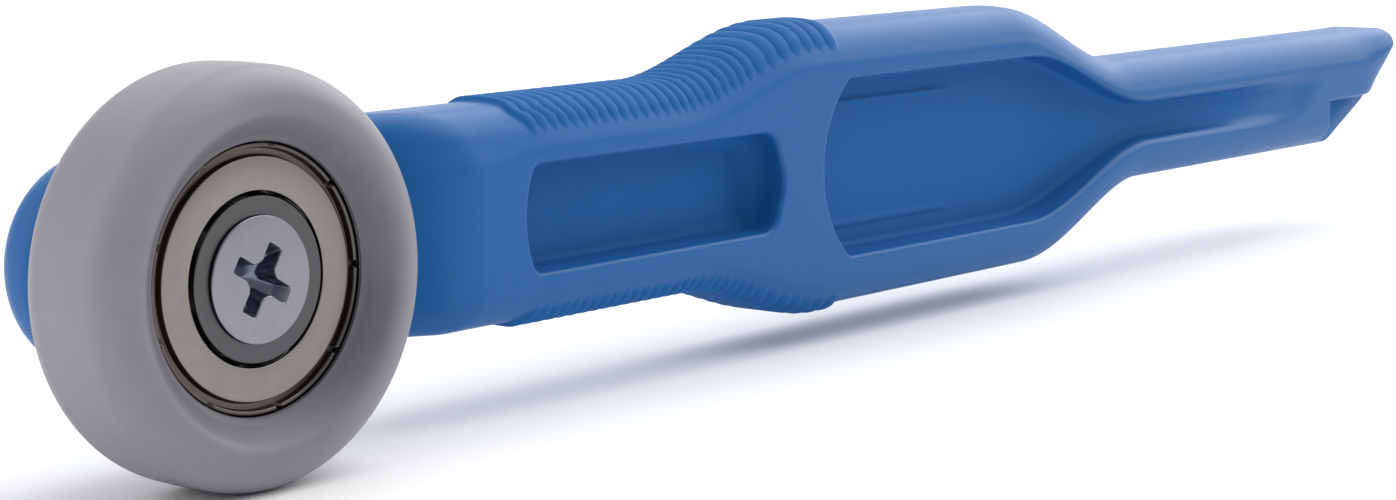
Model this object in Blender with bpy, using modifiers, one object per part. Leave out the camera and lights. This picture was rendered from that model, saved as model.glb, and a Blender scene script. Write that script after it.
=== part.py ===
"""Seam roller: a moulded handle, a roller wheel on a shielded ball bearing and its axle screw.

Frame: +X from the roller towards the tail, +Y along the roller's axle from the wheel side into
the handle, +Z up.  The origin is the centre of the footprint, at the level of the wheel's lowest
point.  Lengths are written in millimetres from the bearing's front face centre and moved into
the frame when each part is placed.
"""
import math

import bmesh
import bpy
from mathutils import Matrix, Vector

MM = 0.001

# Roller wheel and its place in the frame
WHEEL_R = 19.4
WHEEL_FRONT = -2.6
WHEEL_BACK = 10.1
WHEEL_EDGE_R = 3.3
WHEEL_LIP_Y = -0.93
WHEEL_BORE_R = 13.03

# Ball bearing, 10 x 26 x 8
BEARING_WIDTH = 8.0
INNER_BORE_R = 5.0
INNER_OUTER_R = 7.4
OUTER_R = 13.0
OUTER_SHOULDER_R = 10.75
PITCH_R = 9.0
BALL_R = 2.381
BALL_COUNT = 7
RACE_R = 2.5
OUTER_RACE_GAP = 0.09
INNER_RACE_GAP = 0.02
SHIELD_T = 0.3
SHIELD_INNER_R = 8.14
SHIELD_FLAT_R = 10.8
SHIELD_RIM_R = 12.3
SHIELD_SLITS = 9
SHIELD_SEAT_R = 12.42

# Cage
CAGE_T = 0.36
CAGE_CUP_GAP = 0.16
CAGE_R0 = 8.3
CAGE_R1 = 9.7
RIVET_SHANK_R = 0.34
RIVET_HEAD_R = 0.62

# Axle screw, sleeve and threaded insert
SCREW_HEAD_R = 5.94
SCREW_TOP_Y = -0.38
SCREW_RIM_Y = -0.15
SCREW_SHANK_R = 2.92
SCREW_TIP_Y = 16.4
SLEEVE_R = 4.94
SLEEVE_BORE_R = 3.25
SLEEVE_FLANGE_R = 7.0
INSERT_R = 4.2
INSERT_BORE_R = 3.05

# Handle
SIDE_Y = 5.3
BACK_Y = 18.7
HEAD_PLATE_Y = 11.0
HANDLE_Z = 0.9
HEAD_END_X = -4.7
HEAD_R = 10.75
NECK_H = 11.15
BODY_H = 16.35
TAIL_H = 8.0
TAIL_TIP_X = 238.5
RISE_X0 = 66.5
RISE_X1 = 91.5
DROP_X0 = 134.2
DROP_X1 = 162.3
DROP_LEAD = 1.8
EDGE_R = 3.5
RAMP_X0 = 23.0
RAMP_X1 = 29.8
POCKET_DEPTH = 4.6
POCKET_FLOOR_R = 1.6
PAD_X0 = 39.5
PAD_X1 = 96.5
PAD_RISE = 0.6
PAD_HALF_Y = 5.7
PAD_ROOT = 5.0
PAD_EDGE_R = 2.2
RIB_PITCH = 1.65
RIB_GROOVE_R = 0.42
BLIND_HOLE_R = 4.3
BLIND_HOLE_END = 17.6

MID_Y = (SIDE_Y + BACK_Y) / 2.0
ORIGIN = Vector(((TAIL_TIP_X - WHEEL_R) / 2.0, (WHEEL_FRONT + BACK_Y) / 2.0, -WHEEL_R))

for old in list(bpy.data.objects):
    bpy.data.objects.remove(old, do_unlink=True)

parts = bpy.data.collections.new("seam_roller")
cutters = bpy.data.collections.new("cutters")
bpy.context.scene.collection.children.link(parts)
bpy.context.scene.collection.children.link(cutters)


def material(name, colour, roughness, metallic):
    mat = bpy.data.materials.new(name)
    mat.use_nodes = True
    shader = mat.node_tree.nodes["Principled BSDF"]
    shader.inputs["Base Color"].default_value = (*colour, 1.0)
    shader.inputs["Roughness"].default_value = roughness
    shader.inputs["Metallic"].default_value = metallic
    return mat


BLUE = material("handle_plastic", (0.035, 0.165, 0.42), 0.42, 0.0)
GREY = material("wheel_plastic", (0.36, 0.345, 0.37), 0.5, 0.0)
RING = material("bearing_steel", (0.42, 0.41, 0.41), 0.3, 1.0)
SHIELD = material("shield_steel", (0.52, 0.5, 0.44), 0.32, 1.0)
BALL = material("ball_steel", (0.62, 0.62, 0.63), 0.12, 1.0)
CAGE = material("cage_steel", (0.5, 0.48, 0.45), 0.38, 1.0)
ZINC = material("screw_zinc", (0.52, 0.57, 0.66), 0.3, 1.0)
STEEL = material("sleeve_steel", (0.5, 0.5, 0.5), 0.35, 1.0)
BRASS = material("insert_brass", (0.72, 0.5, 0.2), 0.3, 1.0)


def place(x, y, z):
    """Frame position, in metres, of a point given in millimetres from the bearing."""
    return (Vector((x, y, z)) - ORIGIN) * MM


def add(name, mesh, collection, mat=None):
    obj = bpy.data.objects.new(name, mesh)
    collection.objects.link(obj)
    if mat is not None:
        mesh.materials.clear()
        mesh.materials.append(mat)
    if collection is cutters:
        obj.hide_render = True
        obj.display_type = "WIRE"
    return obj


def settle(obj):
    """The object's evaluated shape as its own mesh, with nothing left on the stack."""
    graph = bpy.context.evaluated_depsgraph_get()
    mesh = bpy.data.meshes.new_from_object(obj.evaluated_get(graph))
    old = obj.data
    obj.modifiers.clear()
    obj.data = mesh
    bpy.data.meshes.remove(old)
    return obj


def boolean(obj, cutter, operation):
    mod = obj.modifiers.new(cutter.name, "BOOLEAN")
    mod.operation = operation
    mod.solver = "EXACT"
    mod.object = cutter
    return settle(obj)


def shade(obj, angle=35.0):
    obj.data.shade_smooth()
    obj.data.set_sharp_from_angle(angle=math.radians(angle))


def turned(name, profile, steps, collection, mat=None, centre=(0.0, 0.0, 0.0), closed=True):
    """A shape turned about the axle: profile is (radius, distance along the axle) in mm,
    down its outer side from the far end to the near end."""
    mesh = bpy.data.meshes.new(name)
    verts = [(r * MM, 0.0, y * MM) for r, y in profile]
    edges = [(i, i + 1) for i in range(len(verts) - 1)]
    if closed:
        edges.append((len(verts) - 1, 0))
    mesh.from_pydata(verts, edges, [])
    obj = add(name, mesh, collection, mat)
    screw = obj.modifiers.new("turn", "SCREW")
    screw.axis = "Z"
    screw.steps = steps
    screw.render_steps = steps
    screw.use_merge_vertices = True
    screw.merge_threshold = 0.00001
    settle(obj)
    obj.data.transform(Matrix.Rotation(-math.pi / 2.0, 4, "X"))
    obj.location = place(*centre)
    shade(obj)
    return obj


def prism(name, outline, y0, y1, collection, mat=None):
    """A flat outline in X and Z, in mm, made solid from y0 to y1."""
    curve = bpy.data.curves.new(name, "CURVE")
    curve.dimensions = "2D"
    curve.fill_mode = "BOTH"
    curve.extrude = (y1 - y0) / 2.0 * MM
    spline = curve.splines.new("POLY")
    spline.points.add(len(outline) - 1)
    for point, (x, z) in zip(spline.points, outline):
        point.co = (x * MM, z * MM, 0.0, 1.0)
    spline.use_cyclic_u = True
    holder = bpy.data.objects.new(name + "_curve", curve)
    cutters.objects.link(holder)
    graph = bpy.context.evaluated_depsgraph_get()
    mesh = bpy.data.meshes.new_from_object(holder.evaluated_get(graph))
    bpy.data.objects.remove(holder, do_unlink=True)
    work = bmesh.new()
    work.from_mesh(mesh)
    bmesh.ops.remove_doubles(work, verts=work.verts, dist=0.000001)
    bmesh.ops.dissolve_limit(work, angle_limit=0.0001, verts=work.verts, edges=work.edges)
    bmesh.ops.recalc_face_normals(work, faces=work.faces)
    work.to_mesh(mesh)
    work.free()
    mesh.transform(Matrix.Rotation(math.pi / 2.0, 4, "X"))
    mesh.name = name
    obj = add(name, mesh, collection, mat)
    obj.location = place(0.0, (y0 + y1) / 2.0, 0.0)
    return obj


def round_edges(obj, width, segments, angle=50.0):
    bevel = obj.modifiers.new("round", "BEVEL")
    bevel.width = width * MM
    bevel.segments = segments
    bevel.limit_method = "ANGLE"
    bevel.angle_limit = math.radians(angle)
    bevel.harden_normals = False
    return settle(obj)


def smooth(t):
    t = min(max(t, 0.0), 1.0)
    return t * t * (3.0 - 2.0 * t)


def half_height(x, side=0.0):
    """Half the handle's height at a station along it; the top (side 1) falls to the tail first."""
    rise = smooth((x - RISE_X0) / (RISE_X1 - RISE_X0))
    drop = smooth((x + side * DROP_LEAD - DROP_X0) / (DROP_X1 - DROP_X0))
    return NECK_H + (BODY_H - NECK_H) * rise + (TAIL_H - BODY_H) * drop


def arc(cx, cz, r, a0, a1, count):
    """Points on an arc, angles in degrees."""
    out = []
    for i in range(count + 1):
        a = math.radians(a0 + (a1 - a0) * i / count)
        out.append((cx + r * math.cos(a), cz + r * math.sin(a)))
    return out


def stations(x0, x1, step):
    count = max(1, round((x1 - x0) / step))
    return [x0 + (x1 - x0) * i / count for i in range(count + 1)]


def handle_outline():
    """Side outline: round head, neck, wide body, tail and its slanted, rounded end."""
    fore = [30.0] + stations(RISE_X0, RISE_X1, 3.3)
    aft = stations(DROP_X0, DROP_X1, 3.3)
    top = [(x, half_height(x, 1.0)) for x in fore + [x - DROP_LEAD for x in aft]]
    under = [(x, -half_height(x, -1.0)) for x in reversed(fore + [x + DROP_LEAD for x in aft])]
    end = [(TAIL_TIP_X - 2.6, TAIL_H), (TAIL_TIP_X - 0.8, TAIL_H - 0.6), (TAIL_TIP_X, TAIL_H - 1.9),
           (TAIL_TIP_X - 0.6, TAIL_H - 3.6), (TAIL_TIP_X - 7.6, -2.4), (TAIL_TIP_X - 11.3, -4.3),
           (TAIL_TIP_X - 15.9, -6.4), (TAIL_TIP_X - 19.6, -TAIL_H)]
    head = arc(HEAD_END_X, 0.0, HEAD_R, 270.0, 90.0, 20)
    return top + end + under + head


def pocket_fore():
    """The grip pocket: a slightly bowed fore end and a broadly rounded aft end."""
    z = 5.6
    fore = arc(50.6, 0.0, 10.8, 212.0, 148.0, 6)
    aft = [(77.0, z), (80.2, z - 0.35), (82.4, z - 1.6), (83.7, z - 3.4), (84.1, 0.0)]
    mirrored = [(x, -zz) for x, zz in reversed(aft[:-1])]
    return fore + [(44.0, z)] + aft + mirrored + [(44.0, -z)]


def groove_half(x):
    """Half the height of the body pocket, which follows the outline down into the tail."""
    return 10.4 + (2.45 - 10.4) * smooth((x - 135.0) / (164.5 - 135.0))


def pocket_aft():
    """The body pocket with a bowed fore end, running on as a groove into the tail."""
    fore = arc(103.1, 0.0, 12.9, 232.0, 128.0, 10)
    fore = [(x, max(-10.4, min(10.4, z))) for x, z in fore]
    run = [(x, groove_half(x)) for x in stations(135.0, 164.5, 3.2)] + [(207.0, 2.3)]
    tip = [(213.0, 1.6), (215.5, 0.0), (213.0, -1.6)]
    under = [(x, -z) for x, z in reversed(run)]
    return fore + run + tip + under


def rib_comb():
    """Round-bottomed grooves across a grip pad, one per rib pitch."""
    ribs = bpy.data.meshes.new("rib_grooves")
    work = bmesh.new()
    count = int((PAD_X1 - PAD_X0 - 4.0) / RIB_PITCH)
    for i in range(count + 1):
        x = PAD_X0 + 2.4 + RIB_PITCH * i
        z = -half_height(x) - PAD_RISE - 0.08
        turn = Matrix.Rotation(math.pi / 2.0, 4, "X") @ Matrix.Rotation(math.radians(30.0), 4, "Z")
        bmesh.ops.create_cone(work, cap_ends=True, segments=6, radius1=RIB_GROOVE_R * MM,
                              radius2=RIB_GROOVE_R * MM, depth=2.4 * PAD_HALF_Y * MM,
                              matrix=Matrix.Translation((x * MM, 0.0, z * MM)) @ turn)
    work.to_mesh(ribs)
    work.free()
    return ribs


def build_handle():
    handle = prism("handle", handle_outline(), SIDE_Y, BACK_Y, parts, BLUE)
    round_edges(handle, EDGE_R, 3)
    for turn in (0.0, math.pi):
        xs = stations(PAD_X0, RISE_X0, 6.0) + stations(RISE_X0 + 2.6, RISE_X1, 2.6) + [PAD_X1]
        outside = [(x, -half_height(x) - PAD_RISE) for x in xs]
        inside = [(x, PAD_ROOT - half_height(x)) for x in reversed(xs)]
        pad = prism("pad", outside + inside, MID_Y - PAD_HALF_Y, MID_Y + PAD_HALF_Y, cutters)
        round_edges(pad, PAD_EDGE_R, 2)
        comb = add("rib_comb", rib_comb(), cutters)
        comb.location = place(0.0, MID_Y, 0.0)
        boolean(pad, comb, "DIFFERENCE")
        bpy.data.objects.remove(comb, do_unlink=True)
        pad.data.transform(Matrix.Rotation(turn, 4, "X"))
        boolean(handle, pad, "UNION")
        bpy.data.objects.remove(pad, do_unlink=True)
    for side in (1.0, -1.0):
        outer = MID_Y + side * ((BACK_Y - SIDE_Y) / 2.0 + 2.0)
        floor = MID_Y + side * ((BACK_Y - SIDE_Y) / 2.0 - POCKET_DEPTH)
        for outline in (pocket_fore(), pocket_aft()):
            cut = prism("pocket", outline, min(outer, floor), max(outer, floor), cutters)
            work = bmesh.new()
            work.from_mesh(cut.data)
            level = (floor - (outer + floor) / 2.0) * MM
            deep = [e for e in work.edges if all(abs(v.co.y - level) < 0.00001 for v in e.verts)]
            bmesh.ops.bevel(work, geom=deep, offset=POCKET_FLOOR_R * MM, segments=2, affect="EDGES",
                            profile=0.5, clamp_overlap=True)
            work.to_mesh(cut.data)
            work.free()
            boolean(handle, cut, "DIFFERENCE")
            bpy.data.objects.remove(cut, do_unlink=True)
    step = bpy.data.meshes.new("head_step")
    work = bmesh.new()
    bmesh.ops.create_cube(work, size=1.0)
    for vert in work.verts:
        far = vert.co.x > 0.0
        deep = vert.co.y > 0.0
        x = -30.0 if not far else (RAMP_X0 if deep else RAMP_X1 + 1.0)
        y = HEAD_PLATE_Y if deep else SIDE_Y - (HEAD_PLATE_Y - SIDE_Y) / (RAMP_X1 - RAMP_X0)
        vert.co = (x * MM, y * MM, vert.co.z * 0.06)
    work.to_mesh(step)
    work.free()
    cut = add("head_step", step, cutters)
    cut.location = place(0.0, 0.0, 0.0)
    boolean(handle, cut, "DIFFERENCE")
    bpy.data.objects.remove(cut, do_unlink=True)
    corner = prism("tail_corner", [(215.4, -1.6), (231.0, -1.9), (244.0, 0.0), (244.0, -20.0), (215.4, -20.0)],
                   SIDE_Y - 2.0, SIDE_Y + 2.0, cutters)
    boolean(handle, corner, "DIFFERENCE")
    bpy.data.objects.remove(corner, do_unlink=True)
    handle.data.transform(Matrix.Translation((0.0, 0.0, HANDLE_Z * MM)))
    hole = turned("insert_hole", [(0.0, BLIND_HOLE_END), (BLIND_HOLE_R, BLIND_HOLE_END),
                                  (BLIND_HOLE_R, HEAD_PLATE_Y - 1.0), (0.0, HEAD_PLATE_Y - 1.0)],
                  24, cutters, closed=False)
    boolean(handle, hole, "DIFFERENCE")
    bpy.data.objects.remove(hole, do_unlink=True)
    shade(handle, 32.0)
    return handle


def rounded(cx, cy, r, a0, a1, count):
    """Profile points (radius, distance along the axle) round a corner."""
    return arc(cx, cy, r, a0, a1, count)


def build_wheel():
    rc = WHEEL_R - WHEEL_EDGE_R
    back_lip = BEARING_WIDTH - WHEEL_LIP_Y
    profile = [(WHEEL_BORE_R, back_lip), (14.2, WHEEL_BACK - 0.25), (15.4, WHEEL_BACK - 0.03)]
    profile += rounded(rc, WHEEL_BACK - WHEEL_EDGE_R, WHEEL_EDGE_R, 90.0, 0.0, 5)
    profile += rounded(rc, WHEEL_FRONT + WHEEL_EDGE_R, WHEEL_EDGE_R, 0.0, -90.0, 5)
    profile += [(15.4, WHEEL_FRONT + 0.06), (14.2, WHEEL_FRONT + 0.42), (WHEEL_BORE_R, WHEEL_LIP_Y)]
    return turned("roller_wheel", profile, 56, parts, GREY)


def race(radius_to_bottom, outward, count):
    """Raceway arc of one ring, from the far side of the ball track to the near side."""
    mid = BEARING_WIDTH / 2.0
    half = 1.75
    centre = radius_to_bottom - RACE_R if outward else radius_to_bottom + RACE_R
    out = []
    for i in range(count + 1):
        y = mid + half - 2.0 * half * i / count
        reach = math.sqrt(RACE_R ** 2 - (y - mid) ** 2)
        out.append((centre + reach if outward else centre - reach, y))
    return out


def build_rings():
    w = BEARING_WIDTH
    outer_bottom = PITCH_R + BALL_R + OUTER_RACE_GAP
    seat = 1.35
    inside = [(SHIELD_SEAT_R, 0.0), (SHIELD_SEAT_R, seat), (OUTER_SHOULDER_R, seat)]
    inside += list(reversed(race(outer_bottom, True, 4)))
    inside += [(OUTER_SHOULDER_R, w - seat), (SHIELD_SEAT_R, w - seat), (SHIELD_SEAT_R, w)]
    outside = [(OUTER_R - 0.3, w), (OUTER_R, w - 0.3), (OUTER_R, 0.3), (OUTER_R - 0.3, 0.0)]
    outer = turned("bearing_outer_ring", outside + inside, 40, parts, RING)
    inner_bottom = PITCH_R - BALL_R - INNER_RACE_GAP
    front = 0.85
    profile = [(INNER_OUTER_R - 0.15, w), (INNER_OUTER_R, w - 0.15)]
    profile += race(inner_bottom, False, 4)
    profile += [(INNER_OUTER_R, 0.15), (INNER_OUTER_R - 0.15, 0.0), (INNER_BORE_R + front, 0.0),
                (INNER_BORE_R, front), (INNER_BORE_R, w - 0.4), (INNER_BORE_R + 0.4, w)]
    inner = turned("bearing_inner_ring", profile, 40, parts, RING)
    return outer, inner


def build_shield(name, front):
    """Pressed shield: flat web, sunk channel and a rolled rim with slits."""
    a = 0.35
    t = SHIELD_T
    profile = [(SHIELD_INNER_R, a + t), (SHIELD_FLAT_R - 0.1, a + t), (SHIELD_FLAT_R + 0.25, a + 2.2 * t),
               (SHIELD_RIM_R, a + 2.4 * t), (SHIELD_RIM_R, a - 0.05), (SHIELD_RIM_R - 0.4, a - 0.05),
               (SHIELD_RIM_R - 0.5, a + 1.3 * t), (SHIELD_FLAT_R + 0.4, a + 1.3 * t), (SHIELD_FLAT_R, a),
               (SHIELD_INNER_R, a)]
    shield = turned(name, profile, 40, parts, SHIELD)
    slits = bpy.data.meshes.new("slits")
    work = bmesh.new()
    for i in range(SHIELD_SLITS):
        turn = Matrix.Rotation(math.radians(5.0 + 40.0 * i), 4, "Y")
        size = Matrix.Diagonal((1.4 * MM, 0.62 * MM, 0.3 * MM, 1.0))
        spot = Matrix.Translation(((SHIELD_RIM_R + 0.15) * MM, (a + 0.1) * MM, 0.0))
        bmesh.ops.create_cube(work, size=1.0, matrix=turn @ spot @ size)
    work.to_mesh(slits)
    work.free()
    comb = add("slit_comb", slits, cutters)
    comb.location = place(0.0, 0.0, 0.0)
    boolean(shield, comb, "DIFFERENCE")
    bpy.data.objects.remove(comb, do_unlink=True)
    if not front:
        shield.data.transform(Matrix.Rotation(math.pi, 4, "Z"))
        shield.location = place(0.0, BEARING_WIDTH, 0.0)
    shade(shield)
    return shield


def ball_centre(i, offset=0.0):
    a = 2.0 * math.pi * (i + offset) / BALL_COUNT + math.pi / 2.0
    return (PITCH_R * math.cos(a), BEARING_WIDTH / 2.0, PITCH_R * math.sin(a))


def build_balls():
    out = []
    for i in range(BALL_COUNT):
        mesh = bpy.data.meshes.new("ball_%d" % (i + 1))
        work = bmesh.new()
        bmesh.ops.create_uvsphere(work, u_segments=12, v_segments=8, radius=BALL_R * MM)
        work.to_mesh(mesh)
        work.free()
        ball = add("ball_%d" % (i + 1), mesh, parts, BALL)
        ball.location = place(*ball_centre(i))
        ball.data.shade_smooth()
        out.append(ball)
    return out


def sphere_ring(name, radius, u, v):
    mesh = bpy.data.meshes.new(name)
    work = bmesh.new()
    for i in range(BALL_COUNT):
        x, y, z = ball_centre(i)
        spot = Matrix.Translation((x * MM, 0.0, z * MM)) @ Matrix.Rotation(math.pi / 2.0, 4, "X")
        bmesh.ops.create_uvsphere(work, u_segments=u, v_segments=v, radius=radius * MM, matrix=spot)
    work.to_mesh(mesh)
    work.free()
    return add(name, mesh, cutters)


def build_cage(name, front):
    """Half of the ribbon cage: a flat ring with a cup pressed over every ball."""
    gap = 0.03
    mid = BEARING_WIDTH / 2.0
    cup = BALL_R + CAGE_CUP_GAP
    deep = cup + CAGE_T
    cage = turned(name, [(CAGE_R1 + 2.0, -gap), (CAGE_R1 + 2.0, -gap - CAGE_T), (CAGE_R0 - 2.0, -gap - CAGE_T),
                         (CAGE_R0 - 2.0, -gap)], 42, parts, CAGE, centre=(0.0, mid, 0.0))
    jobs = [(sphere_ring("cups", deep, 10, 6), "UNION"),
            (turned("band", [(CAGE_R1, -gap), (CAGE_R1, -deep - 0.5), (CAGE_R0, -deep - 0.5),
                             (CAGE_R0, -gap)], 42, cutters), "INTERSECT"),
            (sphere_ring("hollows", cup, 10, 6), "DIFFERENCE")]
    holes = bpy.data.meshes.new("rivet_holes")
    work = bmesh.new()
    for i in range(BALL_COUNT):
        x, y, z = ball_centre(i, 0.5)
        spot = Matrix.Translation((x * MM, 0.0, z * MM)) @ Matrix.Rotation(math.pi / 2.0, 4, "X")
        bmesh.ops.create_cone(work, cap_ends=True, segments=6, radius1=(RIVET_SHANK_R + 0.1) * MM,
                              radius2=(RIVET_SHANK_R + 0.1) * MM, depth=2.0 * MM, matrix=spot)
    work.to_mesh(holes)
    work.free()
    jobs.append((add("rivet_holes", holes, cutters), "DIFFERENCE"))
    for cutter, operation in jobs:
        cutter.location = place(0.0, mid, 0.0)
        boolean(cage, cutter, operation)
        bpy.data.objects.remove(cutter, do_unlink=True)
    if not front:
        cage.data.transform(Matrix.Rotation(math.pi, 4, "Z") @ Matrix.Rotation(math.pi, 4, "X")
                            @ Matrix.Rotation(math.pi, 4, "Z") @ Matrix.Scale(-1.0, 4, (0.0, 0.0, 1.0)))
        cage.data.flip_normals()
    shade(cage)
    return cage


def build_rivets():
    out = []
    head = 0.2
    reach = CAGE_T + 0.03 + 0.04
    profile = [(0.0, reach + head), (RIVET_HEAD_R - 0.15, reach + head), (RIVET_HEAD_R, reach),
               (RIVET_SHANK_R, reach), (RIVET_SHANK_R, -reach), (RIVET_HEAD_R, -reach),
               (RIVET_HEAD_R - 0.15, -reach - head), (0.0, -reach - head)]
    for i in range(BALL_COUNT):
        out.append(turned("cage_rivet_%d" % (i + 1), profile, 8, parts, CAGE,
                          centre=ball_centre(i, 0.5), closed=False))
    return out


def build_sleeve():
    """Spigot inside the bearing bore and a flange that stands it off the handle's head."""
    w = BEARING_WIDTH
    profile = [(SLEEVE_BORE_R, HEAD_PLATE_Y - 0.05), (SLEEVE_FLANGE_R, HEAD_PLATE_Y - 0.05),
               (SLEEVE_FLANGE_R, w + 0.06), (SLEEVE_R, w + 0.06), (SLEEVE_R, 1.3), (4.66, 1.3),
               (SLEEVE_BORE_R, 2.75)]
    return turned("axle_sleeve", profile, 32, parts, STEEL)


def build_screw():
    cone = SCREW_HEAD_R - SCREW_SHANK_R
    profile = [(0.0, SCREW_TIP_Y), (SCREW_SHANK_R - 0.6, SCREW_TIP_Y), (SCREW_SHANK_R, SCREW_TIP_Y - 0.6),
               (SCREW_SHANK_R, SCREW_RIM_Y + cone), (SCREW_HEAD_R, SCREW_RIM_Y), (SCREW_HEAD_R, SCREW_TOP_Y + 0.12),
               (SCREW_HEAD_R - 0.25, SCREW_TOP_Y), (3.0, SCREW_TOP_Y - 0.12), (0.0, SCREW_TOP_Y - 0.16)]
    screw = turned("axle_screw", profile, 32, parts, ZINC, closed=False)
    for turn in (0.0, 90.0):
        mesh = bpy.data.meshes.new("recess")
        work = bmesh.new()
        bmesh.ops.create_cube(work, size=1.0)
        for vert in work.verts:
            near = vert.co.y < 0.0
            reach = 3.15 if near else 1.25
            wide = 0.62 if near else 0.4
            vert.co = (math.copysign(reach, vert.co.x) * MM, (SCREW_TOP_Y - 0.6 if near else 2.4) * MM,
                       math.copysign(wide, vert.co.z) * MM)
        bmesh.ops.rotate(work, verts=work.verts, cent=(0.0, 0.0, 0.0),
                         matrix=Matrix.Rotation(math.radians(turn + 28.0), 3, "Y"))
        work.to_mesh(mesh)
        work.free()
        blade = add("recess", mesh, cutters)
        blade.location = place(0.0, 0.0, 0.0)
        boolean(screw, blade, "DIFFERENCE")
        bpy.data.objects.remove(blade, do_unlink=True)
    core = turned("recess_core", [(0.0, 2.9), (1.0, 2.2), (1.75, SCREW_TOP_Y - 0.6), (0.0, SCREW_TOP_Y - 0.6)],
                  16, cutters, closed=False)
    boolean(screw, core, "DIFFERENCE")
    bpy.data.objects.remove(core, do_unlink=True)
    shade(screw)
    return screw


def build_insert():
    """Brass insert with a waist between two collars that lock it in the plastic."""
    profile = [(INSERT_BORE_R, 17.4), (INSERT_R, 17.4), (INSERT_R, 14.9), (INSERT_R - 0.45, 14.7),
               (INSERT_R - 0.45, 13.9), (INSERT_R, 13.7), (INSERT_R, 11.3), (INSERT_BORE_R, 11.3)]
    return turned("threaded_insert", profile, 24, parts, BRASS)


build_handle()
build_wheel()
build_rings()
build_shield("bearing_shield_front", True)
build_shield("bearing_shield_rear", False)
build_balls()
build_cage("bearing_cage_front", True)
build_cage("bearing_cage_rear", False)
build_rivets()
build_sleeve()
build_screw()
build_insert()
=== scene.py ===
"""Looks of the seam roller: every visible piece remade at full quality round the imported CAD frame.

Shapes are in millimetres from the bearing's front face centre, in the CAD's own axes: +X from the
roller towards the tail, +Y along the axle into the handle, +Z up. Materials work in metres.
"""

import math

import bpy
import numpy as np
from mathutils import Matrix, Vector


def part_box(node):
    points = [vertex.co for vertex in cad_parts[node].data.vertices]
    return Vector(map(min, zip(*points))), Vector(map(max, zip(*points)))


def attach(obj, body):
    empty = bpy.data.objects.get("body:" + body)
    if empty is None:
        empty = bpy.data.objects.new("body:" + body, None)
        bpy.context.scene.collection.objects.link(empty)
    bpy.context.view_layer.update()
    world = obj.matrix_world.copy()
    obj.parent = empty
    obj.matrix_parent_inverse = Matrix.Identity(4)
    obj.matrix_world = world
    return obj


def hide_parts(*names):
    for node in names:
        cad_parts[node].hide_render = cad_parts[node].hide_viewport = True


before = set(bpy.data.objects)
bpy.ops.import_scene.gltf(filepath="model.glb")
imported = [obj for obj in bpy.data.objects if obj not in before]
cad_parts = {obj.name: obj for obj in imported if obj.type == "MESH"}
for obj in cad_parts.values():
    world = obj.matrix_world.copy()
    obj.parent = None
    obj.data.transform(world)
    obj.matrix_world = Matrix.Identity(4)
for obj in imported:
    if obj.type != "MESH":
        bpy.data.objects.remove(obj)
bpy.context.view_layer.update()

MM = 0.001


def box_of(node):
    low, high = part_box(node)
    return Vector(low), Vector(high)


ring_low, ring_high = box_of("bearing_outer_ring")
AXLE = Vector(((ring_low.x + ring_high.x) / 2.0, ring_low.y, (ring_low.z + ring_high.z) / 2.0))

# ---------------------------------------------------------------- sizes
# The wheel, the bearing and the handle's thickness are the CAD's. The handle's outline and edges
# differ from the CAD's by up to about a millimetre, to follow the photograph.
WHEEL_R = 19.4
WHEEL_FRONT = -2.6
WHEEL_BACK = 10.1
WHEEL_EDGE_R = 3.3
BEARING_W = 8.0
PITCH_R = 9.0
BALL_R = 2.381
BALLS = 7
STRIP_THICK = 0.36
STRIP_GAP = 0.03
SIDE_Y = 5.3
BACK_Y = 18.7
MID_Y = (SIDE_Y + BACK_Y) / 2.0
HALF_T = (BACK_Y - SIDE_Y) / 2.0
PLATE_Y = 11.0
HANDLE_Z = 0.9
HEAD_END_X = -5.1
HEAD_R = 10.3
NECK_H = 11.15
BODY_H = 16.35
TAIL_H = 8.0
TIP_X = 238.1
END_FROM_X = TIP_X - 30.0
RISE = (67.2, 91.0)
RISE_LEAD = 1.1
DROP = (134.2, 162.3)
DROP_LEAD = 1.8
EDGE_R = 3.5
TOP_EDGE_R = 2.4
LEAN = 0.31
LEAN_BAND = 5.0
LEAN_SOFT = 1.2
NECK_BAND = 1.4
CROWN = 0.024
CROWN_RAISE = 0.2
RAMP = (23.0, 29.8)
PLATE_EDGE_R = 3.4
PLATE_RAMP_R = 2.5
SCREW_HOLE_R = 4.3
SCREW_HOLE_END_Y = 17.6

# Pockets: half heights, the narrowing of the long pocket into the tail's groove, and how the walls
# lean and the groove's floor runs out.
POCKET_DEPTH = 4.6
POCKET_LIP_R = 0.5
WALL_DRAFT = 0.06
FORE_POCKET_H = 5.6
FORE_POCKET_LIFT = 0.5
AFT_POCKET_H = 10.4
AFT_POCKET_LIFT = 0.25
AFT_BOW_X = 104.6
AFT_BOW_R = 13.2
AFT_BOW_H = 10.3
NARROWING = (135.0, 164.5)
GROOVE_H = 2.45
GROOVE_TAPER = 0.0035
GROOVE_SHALLOWER = 1.6
GROOVE_TIP_X = 212.9
GROOVE_TIP_R = 2.25
END_CORNER_X = 215.4
END_CORNER_DROP = 1.5
END_CORNER_DEPTH = 2.0
INSERT_LINE_Z = 7.3
INSERT_LINE_HALF = 0.28
INSERT_LINE_LIFT = 0.3

# Ribbed pads. A run is (where it starts, its pitch); PAD_RIBS are the first and last rib counts.
PAD_HALF_Y = 6.2
PAD_STEP = 0.12
RIB_LIFT = 0.48
RIB_END = 0.9
RIB_SWEEP = 1.6
RIB_RUNS = ((43.3, 1.745), (65.6, 1.42), (79.2, 2.17))
PAD_RIBS = (-1.5, 29.6)


# ---------------------------------------------------------------- shape tools
def smooth(t):
    t = np.clip(t, 0.0, 1.0)
    return t * t * (3.0 - 2.0 * t)


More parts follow.
